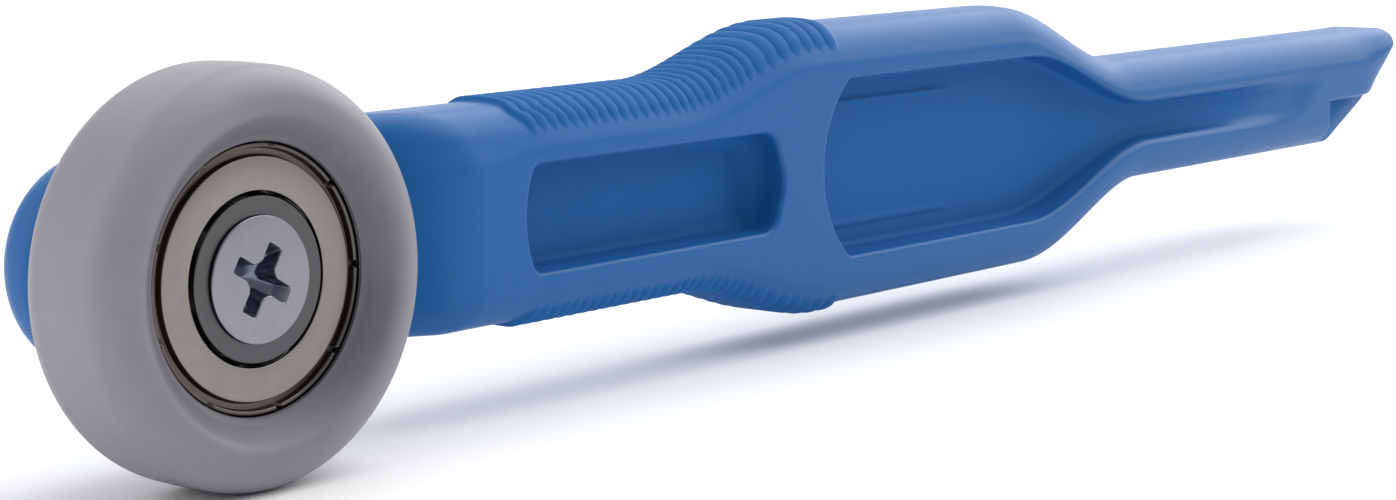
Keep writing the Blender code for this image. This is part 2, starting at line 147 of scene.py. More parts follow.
def half_height(x, side):
    """Half the handle's height at a station along it; the top (side 1) falls to the tail first."""
    neck = HEAD_R + (NECK_H - HEAD_R) * smooth((x - HEAD_END_X) / 30.0)
    rise = smooth((x + side * RISE_LEAD - RISE[0]) / (RISE[1] - RISE[0]))
    drop = smooth((x + side * DROP_LEAD - DROP[0]) / (DROP[1] - DROP[0]))
    return neck + (BODY_H - NECK_H) * rise + (TAIL_H - BODY_H) * drop


def arc(cx, cz, r, a0, a1, count):
    a = np.radians(np.linspace(a0, a1, count + 1))
    return [(cx + r * math.cos(t), cz + r * math.sin(t)) for t in a]


def rounded_polygon(corners, step=0.12):
    """A closed outline with every corner (x, z, radius) turned by an arc."""
    out = []
    count = len(corners)
    for i, (x, z, radius) in enumerate(corners):
        here = np.array((x, z))
        before = np.array(corners[i - 1][:2]) - here
        after = np.array(corners[(i + 1) % count][:2]) - here
        before = before / np.linalg.norm(before)
        after = after / np.linalg.norm(after)
        half = math.acos(np.clip(np.dot(before, after), -1.0, 1.0)) / 2.0
        if radius <= 0.0 or abs(half - math.pi / 2.0) < 0.001:
            out.append((x, z))
            continue
        reach = radius / math.tan(half)
        bisector = before + after
        centre = here + bisector / np.linalg.norm(bisector) * radius / math.sin(half)
        p0 = here + before * reach - centre
        p1 = here + after * reach - centre
        a0 = math.atan2(p0[1], p0[0])
        turn = math.atan2(p0[0] * p1[1] - p0[1] * p1[0], float(np.dot(p0, p1)))
        pieces = max(3, int(abs(turn) * radius / step))
        for k in range(pieces + 1):
            a = a0 + turn * k / pieces
            out.append((centre[0] + radius * math.cos(a), centre[1] + radius * math.sin(a)))
    return out


def outline_distance(x, z, outline):
    """Signed distance to a closed outline, negative inside."""
    points = np.array(outline)
    best = np.full(x.shape, 1e9)
    odd = np.zeros(x.shape, dtype=bool)
    for (ax, az), (bx, bz) in zip(points, np.roll(points, -1, axis=0)):
        ex, ez = bx - ax, bz - az
        length = ex * ex + ez * ez
        if length < 1e-12:
            continue
        t = np.clip(((x - ax) * ex + (z - az) * ez) / length, 0.0, 1.0)
        best = np.minimum(best, (x - ax - t * ex) ** 2 + (z - az - t * ez) ** 2)
        if az != bz:
            crosses = (z >= min(az, bz)) & (z < max(az, bz))
            odd ^= crosses & (x < ax + (z - az) / ez * ex)
    return np.where(odd, -1.0, 1.0) * np.sqrt(best)


class Field:
    """A signed distance to an outline in X and Z, kept on a grid and read with a cubic."""

    def __init__(self, outline, x_range, z_range, step):
        self.x0, self.z0, self.step = x_range[0], z_range[0], step
        xs = np.arange(x_range[0], x_range[1] + step, step)
        zs = np.arange(z_range[0], z_range[1] + step, step)
        gx, gz = np.meshgrid(xs, zs, indexing="ij")
        self.values = outline_distance(gx, gz, outline)

    @staticmethod
    def weights(t):
        return (((-0.5 * t + 1.0) * t - 0.5) * t, (1.5 * t - 2.5) * t * t + 1.0,
                ((-1.5 * t + 2.0) * t + 0.5) * t, (0.5 * t - 0.5) * t * t)

    def __call__(self, x, z):
        fx = np.clip((x - self.x0) / self.step, 1.0, self.values.shape[0] - 2.001)
        fz = np.clip((z - self.z0) / self.step, 1.0, self.values.shape[1] - 2.001)
        ix = np.clip(np.floor(fx).astype(int), 1, self.values.shape[0] - 3)
        iz = np.clip(np.floor(fz).astype(int), 1, self.values.shape[1] - 3)
        wx = self.weights(fx - ix)
        wz = self.weights(fz - iz)
        total = 0.0
        for i in range(4):
            for j in range(4):
                total = total + wx[i] * wz[j] * self.values[ix + i - 1, iz + j - 1]
        return total


def round_max(a, b, r):
    """Where two shapes meet, the part in both, with the edge rounded to r."""
    a = a + r
    b = b + r
    return np.minimum(np.maximum(a, b), 0.0) + np.hypot(np.maximum(a, 0.0), np.maximum(b, 0.0)) - r


def surface_net(shape, axes):
    """Quads over the surface where shape(x, y, z) is zero, one vertex in each crossed cell."""
    grid = (axes[0][:, None, None], axes[1][None, :, None], axes[2][None, None, :])
    values = np.ascontiguousarray(np.broadcast_to(shape(*grid), tuple(len(a) for a in axes)))
    inside = values < 0.0
    cells = tuple(n - 1 for n in values.shape)
    total = np.zeros(cells + (3,))
    hits = np.zeros(cells, dtype=int)
    crossed = []
    for a in range(3):
        b, c = (a + 1) % 3, (a + 2) % 3
        low, high = [slice(None)] * 3, [slice(None)] * 3
        low[a], high[a] = slice(None, -1), slice(1, None)
        v0, v1 = values[tuple(low)], values[tuple(high)]
        cross = inside[tuple(low)] != inside[tuple(high)]
        t = np.where(cross, v0 / np.where(cross, v0 - v1, 1.0), 0.0)
        lay = [1, 1, 1]
        lay[a] = -1
        along = axes[a][:-1].reshape(lay) + t * np.diff(axes[a]).reshape(lay)
        for db in (0, 1):
            for dc in (0, 1):
                cut = [slice(None)] * 3
                cut[b], cut[c] = slice(db, db + cells[b]), slice(dc, dc + cells[c])
                hit = cross[tuple(cut)]
                hits += hit
                total[..., a] += np.where(hit, along[tuple(cut)], 0.0)
                for other, shift in ((b, db), (c, dc)):
                    lay = [1, 1, 1]
                    lay[other] = -1
                    spot = axes[other][shift:shift + cells[other]].reshape(lay)
                    total[..., other] += np.where(hit, spot, 0.0)
        crossed.append(cross)
    used = hits > 0
    number = np.full(cells, -1)
    number[used] = np.arange(int(used.sum()))
    verts = total[used] / hits[used][:, None]
    quads = []
    for a in range(3):
        b, c = (a + 1) % 3, (a + 2) % 3
        at = np.argwhere(crossed[a])
        at = at[(at[:, b] > 0) & (at[:, b] < cells[b]) & (at[:, c] > 0) & (at[:, c] < cells[c])]
        ring = []
        for db, dc in ((-1, -1), (0, -1), (0, 0), (-1, 0)):
            cell = at.copy()
            cell[:, b] += db
            cell[:, c] += dc
            ring.append(number[cell[:, 0], cell[:, 1], cell[:, 2]])
        quad = np.stack(ring, axis=1)
        flip = ~inside[at[:, 0], at[:, 1], at[:, 2]]
        quad[flip] = quad[flip][:, ::-1]
        quads.append(quad)
    return verts, np.concatenate(quads)


def slope(shape, verts, reach=0.04):
    """The shape's gradient at scattered points."""
    out = np.empty_like(verts)
    for k in range(3):
        shift = np.zeros(3)
        shift[k] = reach
        out[:, k] = (shape(*(verts + shift).T) - shape(*(verts - shift).T)) / (2.0 * reach)
    return out


def settle_on(shape, verts, rounds=3, most=0.25):
    """Moves each point down the gradient onto the surface itself."""
    for _ in range(rounds):
        grad = slope(shape, verts)
        size = np.maximum((grad ** 2).sum(axis=1), 0.05)
        move = (shape(*verts.T) / size)[:, None] * grad
        length = np.linalg.norm(move, axis=1, keepdims=True)
        verts = verts - move * np.minimum(1.0, most / np.maximum(length, 1e-9))
    return verts


def mesh_object(name, verts, faces, normals=None, smooth_angle=None):
    """A piece whose own origin is the bearing's front face centre."""
    mesh = bpy.data.meshes.new(name)
    mesh.vertices.add(len(verts))
    mesh.vertices.foreach_set("co", (np.asarray(verts, dtype=np.float32) * MM).ravel())
    sizes = np.array([len(f) for f in faces], dtype=np.int32)
    flat = np.concatenate([np.asarray(f, dtype=np.int32) for f in faces])
    mesh.loops.add(len(flat))
    mesh.loops.foreach_set("vertex_index", flat)
    mesh.polygons.add(len(sizes))
    starts = np.concatenate(([0], np.cumsum(sizes)[:-1]))
    mesh.polygons.foreach_set("loop_start", starts.astype(np.int32))
    mesh.update(calc_edges=True)
    mesh.validate()
    mesh.shade_smooth()
    if normals is not None:
        unit = normals / np.maximum(np.linalg.norm(normals, axis=1, keepdims=True), 1e-9)
        mesh.normals_split_custom_set_from_vertices([tuple(n) for n in unit])
    elif smooth_angle is not None:
        mesh.set_sharp_from_angle(angle=math.radians(smooth_angle))
    obj = bpy.data.objects.new(name, mesh)
    obj.location = AXLE
    bpy.context.scene.collection.objects.link(obj)
    return obj


def netted(name, shape, axes):
    """A piece meshed from its signed distance on a grid, with the shape's own normals."""
    verts, quads = surface_net(shape, axes)
    verts = settle_on(shape, verts)
    return mesh_object(name, verts, quads, slope(shape, verts))


def profile_points(corners, step=0.25):
    """Closed turned profile from (radius, along, corner radius), with the normal at each point."""
    points, normals = [], []
    count = len(corners)
    area = sum(a[0] * b[1] - b[0] * a[1] for a, b in zip(corners, corners[1:] + corners[:1]))
    way = 1.0 if area > 0.0 else -1.0
    for i, (x, y, radius) in enumerate(corners):
        here = np.array((x, y), dtype=float)
        before = np.array(corners[i - 1][:2]) - here
        after = np.array(corners[(i + 1) % count][:2]) - here
        before = before / np.linalg.norm(before)
        after = after / np.linalg.norm(after)
        n0 = way * np.array((-before[1], before[0]))
        n1 = way * np.array((after[1], -after[0]))
        turn = math.atan2(n0[0] * n1[1] - n0[1] * n1[0], float(np.dot(n0, n1)))
        reach = radius * math.tan(abs(turn) / 2.0)
        start = here + before * reach
        pieces = max(2, int(math.ceil(abs(turn) * max(radius, 0.05) / step)), int(abs(turn) / 0.28))
        a0 = math.atan2(n0[1], n0[0])
        bend = 1.0 if turn * way > 0.0 else -1.0
        centre = start - n0 * radius * bend
        for k in range(pieces + 1):
            a = a0 + turn * k / pieces
            n = np.array((math.cos(a), math.sin(a)))
            points.append(centre + n * radius * bend)
            normals.append(n)
    return np.array(points), np.array(normals)


def turns_of(steps):
    return 2.0 * np.pi * np.arange(steps) / steps


def swept(a, radial, along):
    """Carries radial and axial parts round the axle, one row of points for each angle."""
    along = np.broadcast_to(along, (len(a), radial.shape[1]))
    ca, sa = np.cos(a)[:, None], np.sin(a)[:, None]
    return np.stack((radial * ca, along, radial * sa), axis=2).reshape(-1, 3)


def ring_quads(verts, norms, steps):
    """Quads round a ring of equal rows, turned to face the way the normals point."""
    count = len(verts) // steps
    i, j = np.meshgrid(np.arange(steps), np.arange(count), indexing="ij")
    i2, j2 = (i + 1) % steps, (j + 1) % count
    quads = np.stack((i * count + j, i * count + j2, i2 * count + j2, i2 * count + j), axis=2)
    quads = quads.reshape(-1, 4)
    p = verts[quads]
    face = np.cross(p[:, 2] - p[:, 0], p[:, 3] - p[:, 1])
    inwards = float((face * norms[quads].sum(axis=1)).sum()) < 0.0
    return quads[:, ::-1].copy() if inwards else quads


def lathe(name, corners, steps, step=0.25):
    """A ring turned about the axle, with exact normals, so its flats stay flat."""
    points, normals = profile_points(corners, step)
    a = turns_of(steps)
    verts = swept(a, points[None, :, 0], points[None, :, 1])
    norms = swept(a, normals[None, :, 0], normals[None, :, 1])
    return mesh_object(name, verts, ring_quads(verts, norms, steps), norms)


# ---------------------------------------------------------------- handle
def handle_outline():
    """The handle from the side: head disc, neck, grip, tail and slanted end."""
    xs = np.arange(HEAD_END_X + 0.3, END_FROM_X, 0.5)
    top = [(x, half_height(x, 1.0)) for x in xs]
    under = [(x, -half_height(x, -1.0)) for x in reversed(xs)]
    end = rounded_polygon([(TIP_X - 40.0, TAIL_H, 0.0), (TIP_X, TAIL_H, 2.0), (TIP_X, 4.6, 2.2),
                           (TIP_X - 8.4, -2.6, 8.0), (TIP_X - 19.6, -TAIL_H, 4.0),
                           (TIP_X - 60.0, -TAIL_H, 0.0)])
    end = [p for p in end if p[0] > END_FROM_X]
    head = arc(HEAD_END_X, 0.0, HEAD_R, 270.0, 90.0, 180)
    return top + end + under + head


def fore_pocket():
    """The short pocket's outline, with both ends bowed outwards."""
    z = FORE_POCKET_H
    return rounded_polygon([(42.6, -z, 1.4), (40.1, 0.0, 12.0), (42.6, z, 1.4), (82.0, z, 2.6),
                            (84.1, 0.0, 6.0), (82.0, -z, 2.6)])


def groove_half(x):
    """Half the long pocket's height where it narrows into the tail's groove."""
    start, end = NARROWING
    return AFT_POCKET_H + (GROOVE_H - AFT_POCKET_H) * smooth((x - start) / (end - start))


def aft_pocket():
    """The long pocket's outline, from its bowed end to the tip of the groove."""
    groove_x = NARROWING[1]
    bow = math.degrees(math.asin(AFT_BOW_H / AFT_BOW_R))
    fore = arc(AFT_BOW_X, 0.0, AFT_BOW_R, 180.0 + bow, 180.0 - bow, 120)
    run = [(x, groove_half(x)) for x in np.arange(120.0, groove_x, 0.4)]
    run += [(x, GROOVE_H - GROOVE_TAPER * (x - groove_x)) for x in np.arange(groove_x, 211.0, 2.0)]
    tip = arc(GROOVE_TIP_X, 0.0, GROOVE_TIP_R, 80.0, -80.0, 40)
    return fore + run + tip + [(x, -h) for x, h in reversed(run)]


HANDLE = Field(handle_outline(), (-18.0, 243.0), (-20.0, 20.0), 0.4)
FORE = Field(fore_pocket(), (30.0, 94.0), (-14.0, 14.0), 0.35)
AFT = Field(aft_pocket(), (80.0, 224.0), (-20.0, 20.0), 0.4)


def rib_turns(x):
    """Counts ribs along the grip, whole on a crest. The pitch tightens on the rise, then opens."""
    start, pitch = RIB_RUNS[0]
    turns = (x - start) / pitch
    for begin, tighter in RIB_RUNS[1:]:
        turns = turns + np.maximum(x - begin, 0.0) * (1.0 / tighter - 1.0 / pitch)
        pitch = tighter
    return turns


def pad_lift(x, y):
    """How far the ribbed pads stand above the plain edge: a low step with rounded ribs on it.

    Towards the neck the ends of the ribs sweep away from the wheel.
    """
    across = np.abs(y - MID_Y)
    u = rib_turns(x - RIB_SWEEP * smooth((across - 4.4) / 1.8) * smooth((60.0 - x) / 20.0))
    within = smooth((u - PAD_RIBS[0]) / 0.3) * smooth((PAD_RIBS[1] - u) / 0.3)
    a = 2.0 * (u - np.round(u))
    b = np.clip((across - (PAD_HALF_Y - RIB_END)) / RIB_END, 0.0, 2.0)
    rib = np.clip(1.0 - 0.96 * a * a - b * b, 0.0, 1.0) ** 0.62
    step = smooth((PAD_HALF_Y + 0.1 - across) / 0.45)
    return within * (PAD_STEP * step + RIB_LIFT * rib)


def insert_lines(x, up):
    """Two faint ridges left in the pocket floor by the edges of a mould insert."""
    along = smooth((x - 92.5) / 1.5) * smooth((124.0 - x) / 5.0)
    off = np.abs(np.abs(up + AFT_POCKET_LIFT) - INSERT_LINE_Z)
    return INSERT_LINE_LIFT * along * np.exp(-(off / INSERT_LINE_HALF) ** 2)


def leaned_edges(x, y, up):
    """The slab with rounded edges: its top is crowned and the band under it leans back."""
    side = np.abs(y - MID_Y) - HALF_T
    top = smooth((up + 1.0) / 4.0) * smooth((TIP_X - 3.0 - x) / 10.0) * smooth((x - 1.0) / 15.0)
    rim = HANDLE(x, up)
    band = LEAN_BAND + NECK_BAND * smooth((46.0 - x) / 12.0)
    into_band = np.maximum(band + rim, 0.0)
    lean = LEAN * np.where(into_band < LEAN_SOFT, into_band ** 2 / (2.0 * LEAN_SOFT),
                           into_band - LEAN_SOFT / 2.0)
    crown = CROWN * (y - MID_Y) ** 2 - CROWN_RAISE
    edge = EDGE_R + (TOP_EDGE_R - EDGE_R) * top
    return round_max(rim + top * crown, side + top * lean, edge)


def fore_hollow(x, up, depth):
    near_end = smooth((x - 70.0) / 12.0)
    walls = FORE(x, up + FORE_POCKET_LIFT) + WALL_DRAFT * depth
    return round_max(walls, depth - POCKET_DEPTH, 0.6 + 1.8 * near_end)


def aft_hollow(x, up, depth, tail, fade):
    """The long pocket and groove; fade is how far the groove's floor has run out."""
    run_out = 3.0 * fade + 1.5 * smooth((x - 204.0) / 10.0) + 1.6 * fade * smooth((2.0 - up) / 5.0)
    floor = POCKET_DEPTH - GROOVE_SHALLOWER * tail - run_out - insert_lines(x, up)
    walls = AFT(x, up + AFT_POCKET_LIFT) + (WALL_DRAFT + 0.2 * fade) * depth
    return round_max(walls, depth - floor, 0.6 + 0.3 * tail)


def handle_shape(x, y, z):
    """Signed distance to the handle: edges and pads, less ramp, pockets, corner and hole."""
    up = z - HANDLE_Z
    depth = -(np.abs(y - MID_Y) - HALF_T)
    body = leaned_edges(x, y, up) - pad_lift(x, y)
    run = RAMP[1] - RAMP[0]
    drop = PLATE_Y - SIDE_Y
    ramp = ((x - RAMP[0]) * drop + (y - PLATE_Y) * run) / math.hypot(run, drop)
    body = round_max(body, -round_max(y - PLATE_Y, ramp, PLATE_RAMP_R), PLATE_EDGE_R)
    tail = smooth((x - 138.0) / 24.0)
    fade = np.clip((x - 165.0) / 48.0, 0.0, 1.0) ** 1.3
    body = round_max(body, -fore_hollow(x, up, depth), POCKET_LIP_R)
    lip = POCKET_LIP_R + 0.5 * tail + 0.6 * fade
    body = round_max(body, -aft_hollow(x, up, depth, tail, fade), lip)
    corner = round_max(END_CORNER_X - x, up + END_CORNER_DROP, 0.6)
    corner = round_max(corner, y - SIDE_Y - END_CORNER_DEPTH, 0.4)
    body = round_max(body, -corner, 0.5)
    hole = np.maximum(np.hypot(x, z) - SCREW_HOLE_R, y - SCREW_HOLE_END_Y)
    return round_max(body, -hole, 0.25)


def spaced(*runs):
    """Grid lines: each run is (start, end, step)."""
    out = []
    for start, end, step in runs:
        count = max(1, round((end - start) / step))
        out.append(np.linspace(start, end, count + 1)[:-1])
    out.append([runs[-1][1]])
    return np.concatenate(out)


def build_handle():
    xs = spaced((-16.6, 39.0, 0.5), (39.0, 98.0, 0.25), (98.0, 240.0, 0.5))
    ys = spaced((4.1, 19.9, 0.42))
    zs = spaced((HANDLE_Z - 18.2, HANDLE_Z + 18.2, 0.42))
    return netted("handle_moulding", handle_shape, (xs, ys, zs))


def mark_texture(moulding):
    """Marks where the mould is textured, 0 to 1: inside the pockets and on the ribbed pads."""
    points = np.empty(len(moulding.data.vertices) * 3)
    moulding.data.vertices.foreach_get("co", points)
    x, y, z = (points.reshape(-1, 3) / MM).T
    rim = HANDLE(x, z - HANDLE_Z)
    pocket = smooth((-rim - 1.8) / 1.2) * smooth((HALF_T - np.abs(y - MID_Y) - 0.4) / 1.2)
    ribs = smooth(pad_lift(x, y) / 0.15) * smooth((rim + 3.0) / 1.0)
    layer = moulding.data.attributes.new("mould_texture", "FLOAT", "POINT")
    layer.data.foreach_set("value", np.maximum(pocket, ribs).astype(np.float32))


handle = build_handle()
mark_texture(handle)
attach(handle, "handle")
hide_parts("handle")


# ---------------------------------------------------------------- wheel and bearing
def build_wheel():
    """Moulded tyre: crowned tread, domed faces dished to a thin lip over the bearing's ring."""
    seat, lip = 13.03, 12.5
    rim = WHEEL_R - 0.18
    front = [(rim, WHEEL_FRONT, WHEEL_EDGE_R), (15.1, WHEEL_FRONT, 1.8), (12.95, -0.3, 1.4),
             (lip, -0.16, 0.06), (lip, -0.03, 0.01), (seat, -0.03, 0.01)]
    back = [(r, BEARING_W - y if r < 15.0 else WHEEL_BACK, k) for r, y, k in reversed(front)]
    corners = [(WHEEL_R + 0.015, 3.75, 40.0)] + front + back
    return lathe("wheel_tyre", corners, 256, 0.2)


def race_corners(bottom, outward):
    """The ball track as a run of short chords between the shoulders."""
    out = []
    mid, track_r, half = BEARING_W / 2.0, 2.5, 1.75
    for k in range(9):
        y = mid + half - 2.0 * half * k / 8
        dip = track_r - math.sqrt(track_r ** 2 - (y - mid) ** 2)
        r = bottom - dip if outward else bottom + dip
        out.append((r, y, 0.15))
    return out


def build_outer_ring():
    w = BEARING_W
    outside, face, shoulder, seat = 13.0, 12.42, 10.75, 1.35
    track = list(reversed(race_corners(PITCH_R + BALL_R + 0.08, True)))
    corners = [(outside, w, 0.3), (outside, 0.0, 0.3), (face, 0.0, 0.08), (face, seat, 0.08),
               (shoulder, seat, 0.1)]
    corners += track + [(shoulder, w - seat, 0.1), (face, w - seat, 0.08), (face, w, 0.08)]
    return lathe("outer_ring", corners, 192, 0.12)


def build_inner_ring():
    w = BEARING_W
    shoulder = 7.58
    corners = [(shoulder, w, 0.12)] + race_corners(PITCH_R - BALL_R - 0.02, False)
    corners += [(shoulder, 0.0, 0.12), (5.85, 0.0, 0.05), (5.0, 0.85, 0.1), (5.0, w - 0.4, 0.1),
                (5.4, w, 0.05)]
    return lathe("inner_ring", corners, 192, 0.12)


def build_shield(name, front):
    """Pressed shield: flat web, sunk channel, rolled rim and nine slits through the rim."""
    top, t = 0.2, 0.3
    rolled, slit_at, slit_half, slit_deep, pitch = top + 0.72, 12.05, 0.34, 0.62, 40.0
    corners = [(8.0, top + t, 0.06), (10.7, top + t, 0.1), (10.95, 1.25, 0.06), (12.3, 1.25, 0.06),
               (12.3, top - 0.08, 0.2), (11.88, top - 0.08, 0.2), (11.8, rolled, 0.1),
               (11.22, rolled, 0.1), (11.06, top, 0.12), (8.0, top, 0.1)]
    points, normals = profile_points(corners, 0.07)
    steps = 720
    count = len(points)
    a = turns_of(steps)
    r = np.broadcast_to(points[None, :, 0], (steps, count))
    y = np.broadcast_to(points[None, :, 1], (steps, count)).copy()
    gap = (np.degrees(a) + pitch / 2.0) % pitch - pitch / 2.0
    off = np.abs(np.radians(gap)) * slit_at
    slit = smooth((slit_half - off) / 0.14)[:, None]
    raised = smooth((r - 11.72) / 0.1) * smooth((rolled - y) / 0.2)
    y += slit * raised * np.maximum(top + slit_deep - y, 0.0)
    if not front:
        y = BEARING_W - y
    verts = swept(a, r, y)
    norms = swept(a, normals[None, :, 0], (1.0 if front else -1.0) * normals[None, :, 1])
    return mesh_object(name, verts, ring_quads(verts, norms, steps))


def place_on_circle(obj, i):
    """Moves a piece from the axle to the ball circle; half steps lie between the balls."""
    a = 2.0 * math.pi * i / BALLS + math.pi / 2.0
    spot = Vector((PITCH_R * math.cos(a), BEARING_W / 2.0, PITCH_R * math.sin(a)))
    obj.location = AXLE + spot * MM
    return obj


def build_ball(i):
    rows, cols = 24, 36
    verts = [(0.0, 0.0, BALL_R)]
    for j in range(1, rows):
        p = math.pi * j / rows
        for k in range(cols):
            q = 2.0 * math.pi * k / cols
            verts.append((BALL_R * math.sin(p) * math.cos(q), BALL_R * math.sin(p) * math.sin(q),
                          BALL_R * math.cos(p)))
    verts.append((0.0, 0.0, -BALL_R))
    faces = [(0, 1 + k, 1 + (k + 1) % cols) for k in range(cols)]
    for j in range(rows - 2):
        for k in range(cols):
            a, b = 1 + j * cols + k, 1 + j * cols + (k + 1) % cols
            faces.append((a, a + cols, b + cols, b))
    last = len(verts) - 1
    base = 1 + (rows - 2) * cols
    faces += [(base + k, last, base + (k + 1) % cols) for k in range(cols)]
    verts = np.array(verts)
    return place_on_circle(mesh_object("bearing_ball_%d" % (i + 1), verts, faces, verts), i)


def build_cage(name, way):
    """Half of the ribbon cage: strip steel that runs flat between the balls and cups each one."""
    steps = 840
    thick, gap = STRIP_THICK, STRIP_GAP
    cup = BALL_R + 0.16 + thick / 2.0
    a = turns_of(steps)
    step = 2.0 * np.pi / BALLS
    off = (a - math.pi / 2.0 + step / 2.0) % step - step / 2.0
    arcs = off * PITCH_R
    flat = gap + thick / 2.0
    dome = np.sqrt(np.maximum(cup ** 2 - arcs ** 2, 0.0))
    blend = 0.25
    rise = np.maximum(dome, flat) + blend * np.exp(-np.abs(dome - flat) / blend) * 0.4
    slope_along = np.gradient(rise, arcs[1] - arcs[0])
    slope_along[[0, -1]] = 0.0
    lean = 1.0 / np.sqrt(1.0 + np.clip(slope_along, -1.2, 1.2) ** 2)
    half_r, half_t = 0.7, thick / 2.0
    corners = [(-half_r, -half_t, 0.08), (half_r, -half_t, 0.08), (half_r, half_t, 0.08),
               (-half_r, half_t, 0.08)]
    section = np.array(rounded_polygon(corners, 0.05))
    y = BEARING_W / 2.0 + way * (rise[:, None] + section[None, :, 1] / lean[:, None])
    verts = swept(a, PITCH_R + section[None, :, 0], y)
    outward = swept(a, section[None, :, 0], way * section[None, :, 1] * 4.0)
    return mesh_object(name, verts, ring_quads(verts, outward, steps), smooth_angle=40.0)


def build_rivet(i):
    """Domed rivet through both halves of the cage."""
    reach, head = STRIP_THICK + STRIP_GAP + 0.04, 0.2
    half = [(0.0, reach + head), (0.25, reach + head), (0.42, reach + head - 0.03),
            (0.55, reach + 0.1), (0.62, reach), (0.34, reach)]
    profile = half + [(r, -y) for r, y in reversed(half)]
    cols = 20
    verts, faces = [], []
    for r, y in profile[1:-1]:
        for k in range(cols):
            q = 2.0 * math.pi * k / cols
            verts.append((r * math.cos(q), y, r * math.sin(q)))
    top, bottom = len(verts), len(verts) + 1
    verts += [(0.0, profile[0][1], 0.0), (0.0, profile[-1][1], 0.0)]
    for j in range(len(profile) - 3):
        for k in range(cols):
            a, b = j * cols + k, j * cols + (k + 1) % cols
            faces.append((a, b, b + cols, a + cols))
    base = (len(profile) - 3) * cols
    for k in range(cols):
        faces.append((top, (k + 1) % cols, k))
        faces.append((bottom, base + k, base + (k + 1) % cols))
    made = mesh_object("rivet_%d" % (i + 1), np.array(verts), faces, smooth_angle=35.0)
    return place_on_circle(made, i + 0.5)


def build_sleeve():
    """Stepped sleeve: fills the bearing's bore and stands it off the head plate."""
    outside, in_bore, bore, end, step = 7.0, 4.94, 3.25, 10.95, BEARING_W + 0.06
    corners = [(outside, end, 0.25), (outside, step, 0.25), (in_bore, step, 0.1),
               (in_bore, 1.3, 0.05), (4.66, 1.3, 0.05), (bore, 2.75, 0.1), (bore, end, 0.2)]
    return lathe("spacer_sleeve", corners, 128, 0.12)


def build_insert():
    """Brass insert: two knurled collars with a waist between them."""
    collar, waist, bore, top, bottom = 4.2, 3.75, 3.05, 17.4, 11.3
    corners = [(collar, top, 0.3), (collar, 14.9, 0.1), (waist, 14.7, 0.1), (waist, 13.9, 0.1),
               (collar, 13.7, 0.1), (collar, bottom, 0.3), (bore, bottom, 0.15), (bore, top, 0.15)]
    points, normals = profile_points(corners, 0.12)
    steps, teeth, tooth_deep = 288, 36.0, 0.22
    a = turns_of(steps)
    knurl = 0.5 + 0.5 * np.cos(a * teeth)
    r = np.broadcast_to(points[None, :, 0], (steps, len(points))).copy()
    r -= tooth_deep * (1.0 - knurl)[:, None] * smooth((r - 4.0) / 0.15)
    verts = swept(a, r, points[None, :, 1])
    norms = swept(a, normals[None, :, 0], normals[None, :, 1])
    return mesh_object("brass_insert", verts, ring_quads(verts, norms, steps), smooth_angle=45.0)


SCREW_R = 5.84
RIM_Y = -0.15
TOP_Y = -0.38
SCREW_DOME = 0.16
SHANK_R = 2.92
SCREW_END_Y = 16.4
THREAD_PITCH = 1.0
THREAD_DEEP = 0.34
RECESS_TURN = math.radians(30.6)
RECESS_END_Y = 2.4


def recess_shape(x, y, z):
    """Cross recess: two tapering wings blended into a round core, over a coned floor."""
    r = np.hypot(x, z)
    c, s = math.cos(RECESS_TURN), math.sin(RECESS_TURN)
    u = c * x - s * z
    v = s * x + c * z
    depth = y - TOP_Y
    wing_long = 3.4 - 0.55 * depth
    wing_half = 0.8 - 0.1 * depth
    wing_a = round_max(np.abs(u) - wing_long, np.abs(v) - wing_half, 0.22)
    wing_b = round_max(np.abs(v) - wing_long, np.abs(u) - wing_half, 0.22)
    cross = np.minimum(wing_a, wing_b)
    core = r - (1.62 - 0.2 * depth)
    blend = np.clip(0.5 - 0.5 * (cross - core) / 0.6, 0.0, 1.0)
    cross = cross * blend + core * (1.0 - blend) - 0.3 * blend * (1.0 - blend)
    floor = r * 0.5 + y - RECESS_END_Y
    return round_max(cross, floor, 0.2)


def screw_shape(x, y, z):
    """Countersunk head with a slight dome, threaded shank and cross recess."""
    r = np.hypot(x, z)
    dome = TOP_Y - SCREW_DOME * (1.0 - np.clip(r / SCREW_R, 0.0, 1.2) ** 2)
    cone = (r + y - (SCREW_R + RIM_Y)) / math.sqrt(2.0)
    head = round_max(round_max(r - SCREW_R, dome - y, 0.12), cone, 0.06)
    phase = (y + np.arctan2(z, x) / (2.0 * math.pi) * THREAD_PITCH) / THREAD_PITCH
    saw = np.abs(2.0 * (phase - np.floor(phase)) - 1.0)
    thread = THREAD_DEEP * saw * smooth((y - 4.0) / 1.5)
    shank = round_max(r - (SHANK_R - thread), y - SCREW_END_Y, 0.4)
    shank = np.maximum(shank, -y)
    body = np.minimum(head, shank)
    return round_max(body, -recess_shape(x, y, z), 0.1)


def build_screw():
    xs = spaced((-6.1, 6.1, 0.11))
    ys = spaced((-0.75, 3.0, 0.11), (3.0, 16.6, 0.2))
    return netted("countersunk_screw", screw_shape, (xs, ys, xs))


wheel = build_wheel()
outer_ring = build_outer_ring()
inner_ring = build_inner_ring()
shield_front = build_shield("shield_front", True)
shield_rear = build_shield("shield_rear", False)
cage_front = build_cage("cage_front", -1.0)
cage_rear = build_cage("cage_rear", 1.0)
sleeve = build_sleeve()
screw = build_screw()
insert = build_insert()
balls = [build_ball(i) for i in range(BALLS)]
rivets = [build_rivet(i) for i in range(BALLS)]

